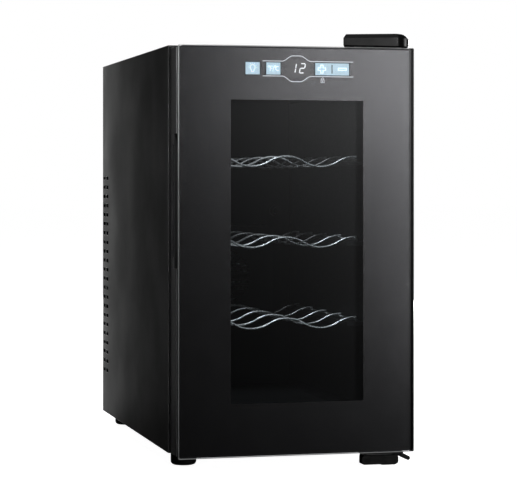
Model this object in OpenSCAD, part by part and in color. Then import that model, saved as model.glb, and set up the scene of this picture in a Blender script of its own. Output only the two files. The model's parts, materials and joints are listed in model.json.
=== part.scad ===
// Free-standing thermoelectric wine cooler: two columns of bottles in four rows
// behind a hinged glass door.
// Millimetres. +X is right, +Y is back, +Z is up from the floor, and the origin is
// under the middle of the cabinet. Inside place() the second coordinate is the depth
// behind the front face of the door glass.

/* [Cabinet] */
// Outside width of the cabinet and the door
cabinet_w = 252; // [248:1:256]
// Depth from the door glass to the rear edges of the side panels
overall_d = 450; // [448:1:454]
// Height of the top panel above the floor
cabinet_top = 439; // [436:1:442]
// Height of the feet
foot_h = 14.5; // [14.5:0.5:16]
// Thickness of the sheet steel
sheet_t = 0.8; // [0.6:0.1:1]

/* [Door] */
// Height of the door glass
door_h = 422.3; // [420:0.1:422.5]
// Thickness of the outer glass
glass_t = 4; // [3.6:0.1:4]
// Depth of the back of the door frame
door_back = 43; // [42:0.5:43]
// Depth of the cabinet's front face
cabinet_front = 51.2; // [51.2:0.1:52]
// Width of the clear window
window_w = 141.8; // [130:0.2:150]
// Window centre, to the right of the door's middle
window_offset = 0.6; // [-3:0.1:3]
// Height of the clear window
window_h = 312; // [300:1:318]

/* [Cavity] */
// Width of the bottle cavity
cavity_w = 180; // [178:1:182]
// Height of the cavity floor above the room's floor
cavity_floor = 50; // [49:1:51]
// Height of the cavity ceiling
cavity_ceiling = 400; // [399:1:402]

/* [Shelves] */
// Distance between shelves
shelf_pitch = 85.7; // [84:0.1:86.5]
// Length of one wave of a shelf wire, which is the bottle spacing
wave_l = 76; // [74:1:77]
// Height of a wave from trough to crest
wave_h = 10.6; // [8:0.2:12]
// Diameter of a shelf wire
wire_d = 2.5; // [2:0.1:3]

/* [Cooling] */
// Height of the middle of the cooling module
module_z = 184; // [180:1:188]
// Rows of vent slots in each side panel
vent_rows = 22; // [10:1:22]

/* [Hidden] */
$fn = 48;

// Cabinet
half_w = cabinet_w / 2;
inside_x = half_w - sheet_t;
base_top = foot_h + sheet_t;
inside_top = cabinet_top - sheet_t;
return_w = 6;             // front return bends of the panels
rear_return_w = 10;       // rear return bends, which the rear panel is screwed to
panel_d = overall_d - 2.2;    // front face of the rear panel
rear_face = panel_d + sheet_t;

// Side vents
vent_l = 15;
vent_h = 4.6;
vent_pitch = 11.17;
vent_low_z = 66.7;
vent_columns = [overall_d - 10.7, overall_d - 31];

// Liner and shelves
cavity_x = cavity_w / 2;
liner_t = 2;
liner_back = 366;
flange_d = cabinet_front + sheet_t;
bulkhead_d = 396;
rod_r = 2;
rod_x = wave_l;
shelf_shift = 3;          // shelf's middle, to the right of the cavity's middle
shelf_wires = 5;
wire_gap = 57;
wire_front = 57;
shelf_low_z = 140.5;      // lowest point of the bottom shelf's wires
wave_half = wave_l / 4;   // half the chord of one arc of a wire
arc_angle = 2 * atan(wave_h / 2 / wave_half);
arc_r = wave_half / sin(arc_angle);
ledge_w = 20;
ledge_t = 4;
ledge_end = 330;

// Hinges
pin_x = 114;
pin_d = 22;
pin_r = 3;
bush_r = 5;
running = 0.05;           // radial clearance of a turning fit
bracket_t = 2;
bracket_top = foot_h - 0.8;
bracket_low = bracket_top - bracket_t;
cover_x = [49.6, 126];
cover_d = [3, 80];
cover_rise = 13.2;        // of the cover's crown above the top panel
hinge_screws_x = [84, 98, 112];
top_screw_d = 64;
bottom_screw_d = 60;
screw_r = 2;
screw_hole = 2.1;

// Door
door_low = foot_h;
door_top = door_low + door_h;
print_t = 0.2;
print_d = glass_t + print_t;
frame_x = half_w - 0.6;
frame_low = door_low + 0.6;
frame_top = door_top - 0.6;
neck_in = 3;
neck_back = 11;
window_x = window_w / 2;
print_edge = [4, 1.6]; // bare glass along the right side, and the top under the glass's edge
window_low = 69.2;
pane_x = 93;
pane_low = 53;
pane_high = 397;
grip_low = 207.7;
grip_high = 346.4;
grip_in = 109;
grip_back = 35.4;
slot_low = 218.3;
slot_high = 335.3;
bay_x = 66;
bay_low = 401;
bay_high = 427;
bay_back = 32;

// Touch keys: left edge, right edge, lowest and highest point of each
key_low = 407.3;
key_high = 419.9;
light_key = [-54.9, -39.8];
unit_key = [-33, -17.8];
plus_key = [19.5, 37.4];
minus_key = [37.8, 56];
key_back = 8;
board_d = 12;
board_t = 1.6;

// Feet: x and depth of each round one
foot_r = 13.5;
front_foot = [-106, 69];
rear_foot_x = 101.5;
rear_foot_d = 424;
round_feet = [front_foot, [-rear_foot_x, rear_foot_d], [rear_foot_x, rear_foot_d]];
block_screws = [[88, 38], [102, 38]];
foot_bore = 4.5;

// Fans: half side, bore radius, cup radius, blade chord
rear_fan_d = 423;
rear_fan_t = 15;
rear_fan_half = 46;
inner_fan_d = 337;
inner_fan_t = 10;
inner_fan_half = 35;

// Cooling core
core_half = 20;
core_hole = 22;
sink_half = 50;
peltier_t = 3.8;
heat_half = 62;
heat_fin_half = 55;
heat_base_d = bulkhead_d + sheet_t;
heat_base_t = 5;
sink_screw_x = 58;
sink_screw_z = 40;

// Power board: its edges and the depth of its front face
board_x = [-50, 70];
board_z = [32, 100];
pcb_d = heat_base_d + 7;

// Mains inlet
inlet_x = -92;
inlet_z = 45;

rear_screw_x = half_w - 6;
rear_screw_z = [30, 160, 295, 425];

// ---------- Helpers ----------

// Moves a shape drawn with depths into the part's frame
module place() translate([0, -overall_d / 2, 0]) children();

// Box between two opposite corners
module block(low, high) translate(low) cube(high - low);

// Round bar standing up, and one lying along the depth
module post(x, d, low, high, r) translate([x, d, low]) cylinder(h = high - low, r = r);
module bar(x, z, front, back, r)
    translate([x, front, z]) rotate([-90, 0, 0]) cylinder(h = back - front, r = r);

// Flat rectangle with round corners
module round_rect(low, high, r) {
    translate([low[0] + r, low[1]]) square([high[0] - low[0] - 2 * r, high[1] - low[1]]);
    translate([low[0], low[1] + r]) square([high[0] - low[0], high[1] - low[1] - 2 * r]);
    for (x = [low[0] + r, high[0] - r], y = [low[1] + r, high[1] - r])
        translate([x, y]) circle(r = r);
}

// Slot with round ends, lying along X
module slot(l, h) {
    square([l - h, h], center = true);
    for (x = [-1, 1]) translate([x * (l - h) / 2, 0]) circle(d = h, $fn = 24);
}

// Outline in X and Z, thickened from one depth to another
module upright(front, back) translate([0, back, 0]) rotate([90, 0, 0])
    linear_extrude(back - front) children();

// Upright ring between two centred rectangles that share their side walls
module ring(x, low, high, width, front, back, r) upright(front, back) difference() {
    round_rect([-x, low], [x, high], r);
    round_rect([-x + width, low + width], [x - width, high - width], max(r - width, 1));
}

// Pan-head screw along the depth, with its head at the back
module screw_y(x, z, face, head_r, head_t, r, l) {
    bar(x, z, face, face + head_t, head_r);
    bar(x, z, face - l, face + 0.01, r);
}

// ---------- Cabinet ----------

module side_panel(side) place() {
    outer = side * half_w;
    inner = side * inside_x;
    difference() {
        union() {
            block([min(outer, inner), cabinet_front, foot_h],
                  [max(outer, inner), overall_d, cabinet_top]);
            tip = side * (half_w - return_w);
            block([min(inner, tip), cabinet_front, foot_h],
                  [max(inner, tip), flange_d, inside_top]);
            rear_tip = side * (half_w - rear_return_w);
            block([min(inner, rear_tip), panel_d - sheet_t, base_top],
                  [max(inner, rear_tip), panel_d, inside_top]);
        }
        for (d = vent_columns, i = [0 : vent_rows - 1])
            translate([side * half_w, d, vent_low_z + i * vent_pitch])
                rotate([90, 0, 90]) translate([0, 0, -2])
                    linear_extrude(4) slot(vent_l, vent_h);
        for (z = rear_screw_z)
            bar(side * rear_screw_x, z, panel_d - 2, panel_d + 1, 1.5);
    }
}

module left_side_panel() color([0.1, 0.1, 0.11]) side_panel(-1);
module right_side_panel() color([0.1, 0.1, 0.11]) side_panel(1);

module top_panel() color([0.11, 0.11, 0.12]) place() difference() {
    union() {
        block([-inside_x, cabinet_front, inside_top], [inside_x, overall_d, cabinet_top]);
        block([-half_w + return_w, cabinet_front, cabinet_top - return_w],
              [half_w - return_w, flange_d, inside_top]);
    }
    for (x = hinge_screws_x)
        post(x, top_screw_d, inside_top - 1, cabinet_top + 1, screw_hole);
}

module base_plate() color([0.2, 0.2, 0.21]) place() difference() {
    union() {
        block([-inside_x, flange_d, foot_h], [inside_x, panel_d, base_top]);
        block([-half_w + return_w, cabinet_front, foot_h],
              [half_w - return_w, flange_d, foot_h + return_w]);
    }
    for (x = hinge_screws_x)
        post(x, bottom_screw_d, foot_h - 1, base_top + 1, screw_hole);
    for (f = round_feet) post(f[0], f[1], foot_h - 1, base_top + 1, screw_hole);
}

module rear_bulkhead() color([0.6, 0.61, 0.62]) place() difference() {
    block([-inside_x, bulkhead_d, base_top], [inside_x, bulkhead_d + sheet_t, inside_top]);
    block([-core_hole, bulkhead_d - 1, module_z - core_hole],
          [core_hole, bulkhead_d + 2, module_z + core_hole]);
    for (x = [-1, 1], z = [-1, 1])
        bar(x * sink_screw_x, module_z + z * sink_screw_z, bulkhead_d - 1, bulkhead_d + 2, 1.8);
}

module rear_panel() color([0.13, 0.13, 0.14]) place() {
    grille_r = 42;
    difference() {
        upright(panel_d, rear_face) difference() {
            translate([-inside_x, base_top])
                square([2 * inside_x, inside_top - base_top]);
            for (dz = [-32 : 8 : 32])
                translate([0, module_z + dz])
                    slot(2 * sqrt(grille_r * grille_r - dz * dz), 4.4);
            for (x = [-45, 0, 45], i = [0 : 5])
                translate([x, 330 + 9 * i]) slot(36, 4);
            translate([inlet_x, inlet_z]) square([27.6, 20.4], center = true);
        }
        for (x = [-1, 1], z = rear_screw_z)
            bar(x * rear_screw_x, z, panel_d - 1, rear_face + 1, 1.5);
    }
}

module rear_panel_screws() color([0.75, 0.75, 0.77]) place()
    for (x = [-1, 1], z = rear_screw_z)
        screw_y(x * rear_screw_x, z, rear_face, 2.9, 1.2, 1.4, 8);

module inner_liner() color([0.07, 0.07, 0.075]) place() {
    out_x = cavity_x + liner_t;
    out_low = cavity_floor - liner_t;
    out_high = cavity_ceiling + liner_t;
    difference() {
        union() {
            block([-inside_x, flange_d, base_top], [inside_x, flange_d + liner_t, inside_top]);
            upright(flange_d + liner_t, liner_back + liner_t)
                round_rect([-out_x, out_low], [out_x, out_high], 10);
        }
        upright(flange_d - 1, liner_back)
            round_rect([-cavity_x, cavity_floor], [cavity_x, cavity_ceiling], 8);
        block([-core_hole, liner_back - 1, module_z - core_hole],
              [core_hole, liner_back + liner_t + 1, module_z + core_hole]);
    }
    for (side = [-1, 1], i = [0 : 2]) {
        top = ledge_top(i);
        near = side * (cavity_x - ledge_w);
        far = side * (cavity_x + 1);
        block([min(near, far), flange_d + 4, top - ledge_t], [max(near, far), ledge_end, top]);
    }
}

// Heights of shelf i, counted from the bottom: its crests, its rods and its ledge
function wave_crest(i) = shelf_low_z + i * shelf_pitch + wire_d / 2 + wave_h;
function rod_z(i) = wave_crest(i) - wire_d / 2 - rod_r - 0.05;
function ledge_top(i) = rod_z(i) - rod_r;

module insulation_foam() color([0.93, 0.9, 0.78]) place() {
    front = flange_d + liner_t;
    out_x = cavity_x + liner_t;
    difference() {
        block([-inside_x, front, base_top], [inside_x, bulkhead_d, inside_top]);
        upright(front - 1, liner_back + liner_t)
            round_rect([-out_x, cavity_floor - liner_t], [out_x, cavity_ceiling + liner_t], 10);
        block([-core_hole, liner_back, module_z - core_hole],
              [core_hole, bulkhead_d + 1, module_z + core_hole]);
        for (x = hinge_screws_x) {
            post(x, top_screw_d, inside_top - 12, inside_top + 1, 2.6);
            post(x, bottom_screw_d, base_top - 1, base_top + 12, 2.6);
        }
        post(front_foot[0], front_foot[1], base_top - 1, base_top + 12, 2.6);
        for (x = [-1, 1], z = [-1, 1])
            bar(x * sink_screw_x, module_z + z * sink_screw_z, bulkhead_d - 10, bulkhead_d + 1, 2.2);
    }
}

// ---------- Shelves ----------

// Arc of a shelf wire: its middle at x, bulging up (+1) or down (-1), spanning share of
// a half wave on each side given by left and right
module wave_arc(x, up, left, right) {
    start = 90 - right * arc_angle;
    translate([x, 0, -up * arc_r + up * wave_h / 2]) rotate([90, 0, 0])
        mirror([0, up > 0 ? 0 : 1, 0]) rotate([0, 0, start])
            rotate_extrude(angle = (left + right) * arc_angle)
                translate([arc_r, 0]) circle(d = wire_d, $fn = 24);
}

// Ball where two stretches of a wire meet
module wire_joint() sphere(d = wire_d + 0.04, $fn = 24);

// One wavy wire on its mid line: two troughs for the bottles between three crests
module wave_wire() {
    for (side = [-1, 1]) {
        wave_arc(side * wave_l / 2, -1, 1, 1);
        wave_arc(side * wave_l, 1, side > 0 ? 1 : 0, side > 0 ? 0 : 1);
        translate([side * wave_l, 0, wave_h / 2]) {
            rotate([0, 90 * side, 0]) cylinder(h = 1.2, d = wire_d, $fn = 24);
            wire_joint();
        }
    }
    for (i = [-3 : 2 : 3]) translate([i * wave_half, 0, 0]) wire_joint();
    wave_arc(0, 1, 1, 1);
}

module shelf(i) color([0.82, 0.83, 0.85]) place() translate([shelf_shift, 0, 0]) {
    for (k = [0 : shelf_wires - 1])
        translate([0, wire_front + k * wire_gap, wave_crest(i) - wave_h / 2]) wave_wire();
    for (side = [-1, 1])
        bar(side * rod_x, rod_z(i), wire_front - 3,
            wire_front + (shelf_wires - 1) * wire_gap + 3, rod_r);
}

module shelf_top() shelf(2);
module shelf_middle() shelf(1);
module shelf_bottom() shelf(0);

// ---------- Cooling ----------

module cold_air_cover() color([0.09, 0.09, 0.1]) place() {
    front = 331;
    half = 60;
    wall = 2;
    difference() {
        union() {
            difference() {
                upright(front, liner_back)
                    round_rect([-half, module_z - half], [half, module_z + half], 6);
                upright(front + wall, liner_back + 1)
                    round_rect([-half + wall, module_z - half + wall],
                               [half - wall, module_z + half - wall], 4);
            }
            for (x = [-1, 1], z = [-1, 1])
                bar(x * (inner_fan_half - 4), module_z + z * (inner_fan_half - 4),
                    front + 1, inner_fan_d, 3.4);
        }
        for (dz = [-28 : 7 : 28])
            upright(front - 1, front + wall + 0.5) translate([0, module_z + dz])
                slot(2 * sqrt(33 * 33 - dz * dz), 3.6);
        for (dz = [-48 : 12 : 48])
            block([-half - 1, 349, module_z + dz - 2], [half + 1, 360, module_z + dz + 2]);
        for (x = [-1, 1], z = [-1, 1])
            bar(x * (inner_fan_half - 4), module_z + z * (inner_fan_half - 4),
                front + 1.2, inner_fan_d + 1, 1.55);
    }
}

// Square fan frame with a round duct, a bearing on four spokes at its back,
// and a corner hole for each screw
module fan_frame(front, t, half, duct_r, hub_r, tube_r, shaft_r, hole_r) {
    back = front + t;
    spoke_t = 2.2;
    difference() {
        union() {
            difference() {
                upright(front, back)
                    round_rect([-half, module_z - half], [half, module_z + half], 4);
                bar(0, module_z, front - 1, back + 1, duct_r);
            }
            bar(0, module_z, back - spoke_t, back, hub_r);
            bar(0, module_z, front + 3.2, back, tube_r);
            for (a = [45 : 90 : 315])
                translate([0, 0, module_z]) rotate([0, a, 0])
                    block([hub_r - 1, back - spoke_t, -2], [duct_r + 1, back, 2]);
        }
        bar(0, module_z, front + 1, back - 1, shaft_r + 0.04);
        for (x = [-1, 1], z = [-1, 1])
            bar(x * (half - 4), module_z + z * (half - 4), front - 1, back + 1, hole_r);
    }
}

// Fan rotor: a cup over the bearing, its shaft and pitched blades
module fan_rotor(front, cup_back, cup_r, tip_r, chord, blade_t, shaft_r, shaft_back) {
    blades = 7;
    wall = 1.3;
    difference() {
        union() {
            bar(0, module_z, front, cup_back, cup_r);
            for (i = [0 : blades - 1])
                translate([0, (front + cup_back) / 2, module_z])
                    rotate([0, i * 360 / blades, 0]) rotate([34, 0, 0])
                        translate([cup_r - wall, -blade_t / 2, -chord / 2])
                            cube([tip_r - cup_r + wall, blade_t, chord]);
        }
        bar(0, module_z, front + wall, cup_back + 1, cup_r - wall - 0.4);
    }
    bar(0, module_z, front + wall - 0.2, shaft_back, shaft_r);
}

module inner_fan_frame() color([0.08, 0.08, 0.09]) place()
    fan_frame(inner_fan_d, inner_fan_t, inner_fan_half, 32.5, 10, 3.2, 1.2, 1.7);
module inner_fan_rotor() color([0.16, 0.16, 0.17]) place()
    fan_rotor(inner_fan_d + 0.8, inner_fan_d + 7.2, 12.5, 31, 8.5, 1, 1.2, inner_fan_d + 8);
module inner_fan_screws() color([0.75, 0.75, 0.77]) place()
    for (x = [-1, 1], z = [-1, 1])
        screw_y(x * (inner_fan_half - 4), module_z + z * (inner_fan_half - 4),
                inner_fan_d + inner_fan_t, 2.6, 1.5, 1.5, 13);

module rear_fan_frame() color([0.08, 0.08, 0.09]) place()
    fan_frame(rear_fan_d, rear_fan_t, rear_fan_half, 43, 15, 4, 1.5, 2.2);
module rear_fan_rotor() color([0.16, 0.16, 0.17]) place()
    fan_rotor(rear_fan_d + 1.2, rear_fan_d + 11.8, 18, 41.3, 14, 1.4, 1.5, rear_fan_d + 13);
module rear_fan_screws() color([0.75, 0.75, 0.77]) place()
    for (x = [-1, 1], z = [-1, 1])
        screw_y(x * (rear_fan_half - 4), module_z + z * (rear_fan_half - 4),
                rear_fan_d + rear_fan_t, 3.4, 2, 1.4, 21);

module cold_sink() color([0.78, 0.79, 0.8]) place() {
    base = liner_back - 5;
    block([-sink_half, base, module_z - sink_half], [sink_half, liner_back, module_z + sink_half]);
    for (i = [-7 : 7])
        block([i * 6.9 - 0.6, base - 11, module_z - sink_half],
              [i * 6.9 + 0.6, base + 0.1, module_z + sink_half]);
}

module conduction_block() color([0.7, 0.71, 0.73]) place()
    block([-core_half, liner_back, module_z - core_half],
          [core_half, bulkhead_d - peltier_t, module_z + core_half]);

module peltier_module() color([0.92, 0.92, 0.9]) place() {
    front = bulkhead_d - peltier_t;
    plate = 0.8;
    block([-core_half, front, module_z - core_half], [core_half, front + plate, module_z + core_half]);
    block([-core_half + 1, front + plate, module_z - core_half + 1],
          [core_half - 1, bulkhead_d - plate, module_z + core_half - 1]);
    block([-core_half, bulkhead_d - plate, module_z - core_half],
          [core_half, bulkhead_d, module_z + core_half]);
}

module heat_sink() color([0.72, 0.73, 0.75]) place() {
    fin_d = heat_base_d + heat_base_t;
    difference() {
        union() {
            block([-heat_half, heat_base_d, module_z - heat_fin_half],
                  [heat_half, fin_d, module_z + heat_fin_half]);
            block([-core_half, bulkhead_d, module_z - core_half],
                  [core_half, heat_base_d + 0.1, module_z + core_half]);
        }
        for (x = [-1, 1], z = [-1, 1])
            bar(x * sink_screw_x, module_z + z * sink_screw_z, heat_base_d - 1, fin_d + 1, 1.8);
    }
    for (i = [-9 : 9])
        block([i * 5.7 - 0.6, fin_d - 0.1, module_z - heat_fin_half],
              [i * 5.7 + 0.6, rear_fan_d, module_z + heat_fin_half]);
}

module heat_sink_screws() color([0.6, 0.6, 0.62]) place()
    for (x = [-1, 1], z = [-1, 1])
        screw_y(x * sink_screw_x, module_z + z * sink_screw_z,
                heat_base_d + heat_base_t, 2.9, 2, 1.6, 14);

// ---------- Electrics ----------

module board_corners() for (x = board_x, z = board_z)
    translate([x > 0 ? x - 5 : x + 5, 0, z > 60 ? z - 5 : z + 5]) children();

module power_board() color([0.1, 0.35, 0.2]) place() difference() {
    block([board_x[0], pcb_d, board_z[0]], [board_x[1], pcb_d + board_t, board_z[1]]);
    board_corners() bar(0, 0, pcb_d - 1, pcb_d + 3, 1.6);
}

module board_standoffs() color([0.85, 0.85, 0.82]) place() board_corners() {
    bar(0, 0, bulkhead_d + sheet_t, pcb_d, 3);
    bar(0, 0, pcb_d, pcb_d + board_t + 1, 1.5);
    bar(0, 0, pcb_d + board_t, pcb_d + board_t + 1.4, 2.4);
}

module power_components() color([0.25, 0.25, 0.28]) place() {
    face = pcb_d + board_t;
    block([-38, face, 44], [-8, face + 24, 72]);
    block([-36, face, 78], [-18, face + 14, 90]);
    for (x = [4, 18]) bar(x, 50, face, face + 22, 6);
    bar(34, 50, face, face + 15, 4.5);
    block([6, face, 66], [46, face + 18, 69]);
    for (x = [12, 26, 40]) block([x - 5, face, 69], [x + 5, face + 16, 72.5]);
    for (x = [4, 22, 40]) block([x - 6, face, 82], [x + 6, face + 9, 90]);
    block([52, face, 44], [62, face + 10, 84]);
}

// Chain of straight runs, each bend in a slightly larger ball
module lead(points, r) {
    for (i = [0 : len(points) - 2]) {
        v = points[i + 1] - points[i];
        l = norm(v);
        translate(points[i])
            rotate([0, acos(v[2] / l), atan2(v[1], v[0])]) cylinder(h = l, r = r, $fn = 16);
    }
    for (i = [1 : len(points) - 2]) translate(points[i]) sphere(r = r + 0.3, $fn = 16);
}

module internal_wiring() place() {
    plug = pcb_d + board_t + 9;
    color([0.1, 0.1, 0.1]) {
        lead([[22, plug, 86], [22, 430, 86], [22, 430, module_z - rear_fan_half]], 1.2);
        lead([[40, plug, 86], [40, 420, 86], [75, 420, 86], [75, 420, 250],
              [75, heat_base_d, 250]], 1.2);
    }
    color([0.6, 0.1, 0.1])
        lead([[inlet_x, 428, inlet_z], [inlet_x, 418, inlet_z], [inlet_x, 418, 58],
              [-38, 418, 58]], 1.6);
}

module mains_inlet() color([0.06, 0.06, 0.06]) place() translate([inlet_x, 0, inlet_z]) {
    well = 432;
    difference() {
        union() {
            upright(428, rear_face) round_rect([-13.6, -10], [13.6, 10], 2);
            upright(rear_face, rear_face + 1.2) round_rect([-16, -13], [16, 13], 3);
        }
        upright(well, rear_face + 2) round_rect([-11.6, -8.2], [11.6, 8.2], 2);
    }
    for (x = [-7, 0, 7])
        block([x - 1, well - 1, x == 0 ? -1 : -4], [x + 1, well + 12, x == 0 ? 4 : 1]);
}

module lamp_board() color([0.85, 0.85, 0.8]) place() {
    block([-30, 74, cavity_ceiling - 1.2], [30, 84, cavity_ceiling]);
    for (x = [-20, 0, 20])
        block([x - 1.8, 77, cavity_ceiling - 2.2], [x + 1.8, 81, cavity_ceiling - 1]);
}

module lamp_lens() color([0.9, 0.93, 0.97, 0.6]) place() difference() {
    block([-35, 70, cavity_ceiling - 5], [35, 88, cavity_ceiling]);
    block([-33.5, 71.5, cavity_ceiling - 3.5], [33.5, 86.5, cavity_ceiling + 1]);
}

module temperature_sensor() color([0.85, 0.85, 0.83]) place() {
    bar(72, 262, liner_back - 3, liner_back, 7);
    bar(72, 262, liner_back - 9, liner_back - 2.9, 4);
}

// ---------- Feet ----------

// Round rubber foot with a rounded lower edge and a recess for its screw
module round_foot(x, d) color([0.05, 0.05, 0.05]) place() translate([x, d, 0]) {
    edge = 4;
    rotate_extrude() difference() {
        union() {
            translate([0, edge]) square([foot_r, foot_h - edge]);
            square([foot_r - edge, foot_h]);
            translate([foot_r - edge, edge]) circle(r = edge);
        }
        square([foot_bore, foot_h / 2]);
        square([screw_hole, foot_h]);
        translate([-foot_r, 0]) square([foot_r, foot_h]);
    }
}

module front_left_foot() round_foot(front_foot[0], front_foot[1]);
module rear_left_foot() round_foot(-rear_foot_x, rear_foot_d);
module rear_right_foot() round_foot(rear_foot_x, rear_foot_d);

// Broad block foot under the hinge bracket, with a low pad at its right end
// Block foot's outline from above: the left side draws in behind its front part
module foot_plan(left, right, inset) linear_extrude(bracket_low) polygon([
    [left + inset, 10 + inset], [right - inset, 10 + inset], [right - inset, 52 - inset],
    [left + 12 + 1.4 * inset, 52 - inset], [left + inset, 20 + 0.4 * inset]
]);

module front_right_foot() color([0.05, 0.05, 0.05]) place() {
    left = 72;
    right = 112;
    top = bracket_low - 1.6;
    difference() {
        union() {
            intersection() {
                upright(10, 52) round_rect([left, 0.9], [right, top], 3);
                foot_plan(left, right, 0);
            }
            linear_extrude(4) round_rect([94, 11], [110.5, 44], 3);
            translate([0, 0, top - 3]) intersection() {
                foot_plan(left, right, 3);
                linear_extrude(bracket_low - top + 3) square([half_w, 50]);
            }
        }
        for (s = block_screws) {
            post(s[0], s[1], -1, foot_h / 2 - 1, foot_bore);
            post(s[0], s[1], 0, bracket_low + 1, screw_hole);
        }
    }
}

// Screw standing up, with its head at the bottom
module screw_up(x, d, face, r, l, head_r, head_t) {
    post(x, d, face - head_t, face, head_r);
    post(x, d, face - 0.01, face + l, r);
}

module foot_screws() color([0.75, 0.75, 0.77]) place() {
    for (f = round_feet) screw_up(f[0], f[1], foot_h / 2, screw_r, foot_h / 2 + 8, 4, 2.2);
    for (s = block_screws)
        screw_up(s[0], s[1], foot_h / 2 - 1, screw_r, bracket_top - foot_h / 2 + 0.8, 4, 2.2);
}

// ---------- Hinges ----------

module top_hinge_plate() color([0.5, 0.5, 0.52]) place() difference() {
    translate([0, 0, cabinet_top]) linear_extrude(bracket_t) {
        round_rect([77, 54], [121, 74], 4);
        round_rect([106, 14], [120, 66], 6.9);
    }
    for (x = hinge_screws_x)
        post(x, top_screw_d, cabinet_top - 1, cabinet_top + 4, screw_hole);
    post(pin_x, pin_d, cabinet_top - 1, cabinet_top + 4, pin_r + 0.02);
}

module top_hinge_pin() color([0.75, 0.75, 0.77]) place() {
    post(pin_x, pin_d, frame_top - 11.4, cabinet_top + bracket_t, pin_r);
    post(pin_x, pin_d, cabinet_top - 1.7, cabinet_top, 5.2);
    post(pin_x, pin_d, cabinet_top + bracket_t, cabinet_top + bracket_t + 1, 4.4);
}

module top_hinge_screws() color([0.75, 0.75, 0.77]) place() for (x = hinge_screws_x) {
    post(x, top_screw_d, cabinet_top + bracket_t, cabinet_top + bracket_t + 2.2, 3.8);
    post(x, top_screw_d, inside_top - 10, cabinet_top + bracket_t + 0.01, screw_r);
}

// Outline of the hinge cover from above: the left side draws in towards the back
module cover_plan(left, right, inset) {
    front = cover_d[0] + inset;
    back = cover_d[1] - inset;
    polygon([[left, front], [right - 18, front], [right - 18, back], [left + 26, back]]);
    translate([right - 37, front]) square([18, back - front]);
    round_rect([right - 37, front], [right, back], 18 - inset);
    round_rect([right - 37, 40], [right, back], 4);
}

// Solid form of the hinge cover, drawn in by inset on every side
module cover_form(inset, low) {
    left = cover_x[0] + inset;
    right = cover_x[1] - inset;
    crown = cabinet_top + cover_rise - inset;
    intersection() {
        upright(cover_d[0] + inset, cover_d[1] - inset) polygon([
            [left, low], [left + 0.8, crown - 5], [left + 3.6, crown - 2.2],
            [left + 24, crown - 1], [left + 48, crown], [right - 12, crown],
            [right - 3.4, crown - 1.6], [right - 0.6, crown - 4.4], [right, low]
        ]);
        translate([0, 0, low - 1]) linear_extrude(30) cover_plan(left, right, inset);
    }
}

module top_hinge_cover() color([0.04, 0.04, 0.04]) place() difference() {
    cover_form(0, door_top + 0.8);
    cover_form(1.8, door_top - 1);
    block([0, cabinet_front - 0.3, 0], [half_w, overall_d, cabinet_top]);
}

module bottom_hinge_bracket() color([0.12, 0.12, 0.13]) place() {
    left = 73.5;
    right = 117;
    difference() {
        union() {
            block([left, 9, bracket_low], [right, 72, bracket_top]);
            block([left, cabinet_front, bracket_top - 0.1], [right, 72, foot_h]);
            translate([right - 2.6, 9, bracket_top - 2.9]) rotate([0, 27, 0]) {
                block([0, 0, -2.2], [9, 14, 2.2]);
                bar(9, 0, 0, 14, 2.2);
            }
        }
        for (x = hinge_screws_x)
            post(x, bottom_screw_d, bracket_low - 1, foot_h + 1, screw_hole);
        for (s = block_screws)
            post(s[0], s[1], bracket_low - 1, bracket_top + 1, screw_hole);
        post(pin_x, pin_d, bracket_low - 1, bracket_top + 1, pin_r + 0.02);
    }
}

module bottom_hinge_pin() color([0.75, 0.75, 0.77]) place()
    post(pin_x, pin_d, bracket_low, frame_low + 11.4, pin_r);

module bottom_hinge_washer() color([0.9, 0.9, 0.88]) place() difference() {
    post(pin_x, pin_d, bracket_top, bracket_top + 0.7, 6);
    post(pin_x, pin_d, bracket_top - 1, bracket_top + 2, pin_r + 0.1);
}

module bottom_hinge_screws() color([0.75, 0.75, 0.77]) place()
    for (x = hinge_screws_x) screw_up(x, bottom_screw_d, bracket_low, screw_r, 12.6, 3.8, 2.2);

// ---------- Door ----------

module door_glass() color([0.16, 0.16, 0.18, 0.6]) place()
    upright(0, glass_t) round_rect([-half_w, door_low], [half_w, door_top], 1.5);

// Dark print on the back of the glass, open at the window, the keys and the display
module door_print() color([0.2, 0.2, 0.21]) place() upright(glass_t, print_d) difference() {
    round_rect([-half_w + 0.6, frame_low], [half_w - print_edge[0], frame_top - print_edge[1]], 1.5);
    translate([window_offset - window_x, window_low]) square([window_w, window_h]);
    for (k = [light_key, unit_key, [plus_key[0], minus_key[1]]])
        translate([k[0], key_low]) square([k[1] - k[0], key_high - key_low]);
    translate([-10, 406.8]) square([23, 14.6]);
}

module door_frame() color([0.12, 0.12, 0.125]) place() difference() {
    union() {
        upright(neck_back, door_back)
            round_rect([-frame_x, frame_low], [frame_x, frame_top], 1.5);
        upright(print_d, neck_back + 0.1)
            round_rect([-frame_x + neck_in, frame_low + neck_in],
                       [frame_x, frame_top], 1.5);
    }
    block([-pane_x, 0, pane_low], [pane_x, door_back + 1, pane_high]);
    block([-bay_x, 0, bay_low], [bay_x, bay_back, bay_high]);
    block([-half_w, 0, grip_low], [-grip_in, grip_back, grip_high]);
    post(pin_x, pin_d, frame_top - 12, frame_top + 1, bush_r);
    post(pin_x, pin_d, frame_low - 1, frame_low + 12, bush_r);
}

// Finger pull in the free edge of the door: a scoop that runs in behind the glass,
// and a narrow groove beside it
module handle_grip() color([0.1, 0.1, 0.105]) place() difference() {
    translate([0, 0, grip_low]) linear_extrude(grip_high - grip_low) polygon([
        [-grip_in, print_d + 0.3], [-grip_in, grip_back], [-frame_x, grip_back],
        [-frame_x, 23], [-123.4, 19.5], [-116, 12], [-113, 8], [-113, print_d + 0.3]
    ]);
    block([-half_w, 25.4, slot_low], [-120.4, 31.4, slot_high]);
}

module glazing_spacer() color([0.1, 0.1, 0.1]) place()
    ring(pane_x, pane_low, pane_high, 10, print_d, 14, 2);

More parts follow.
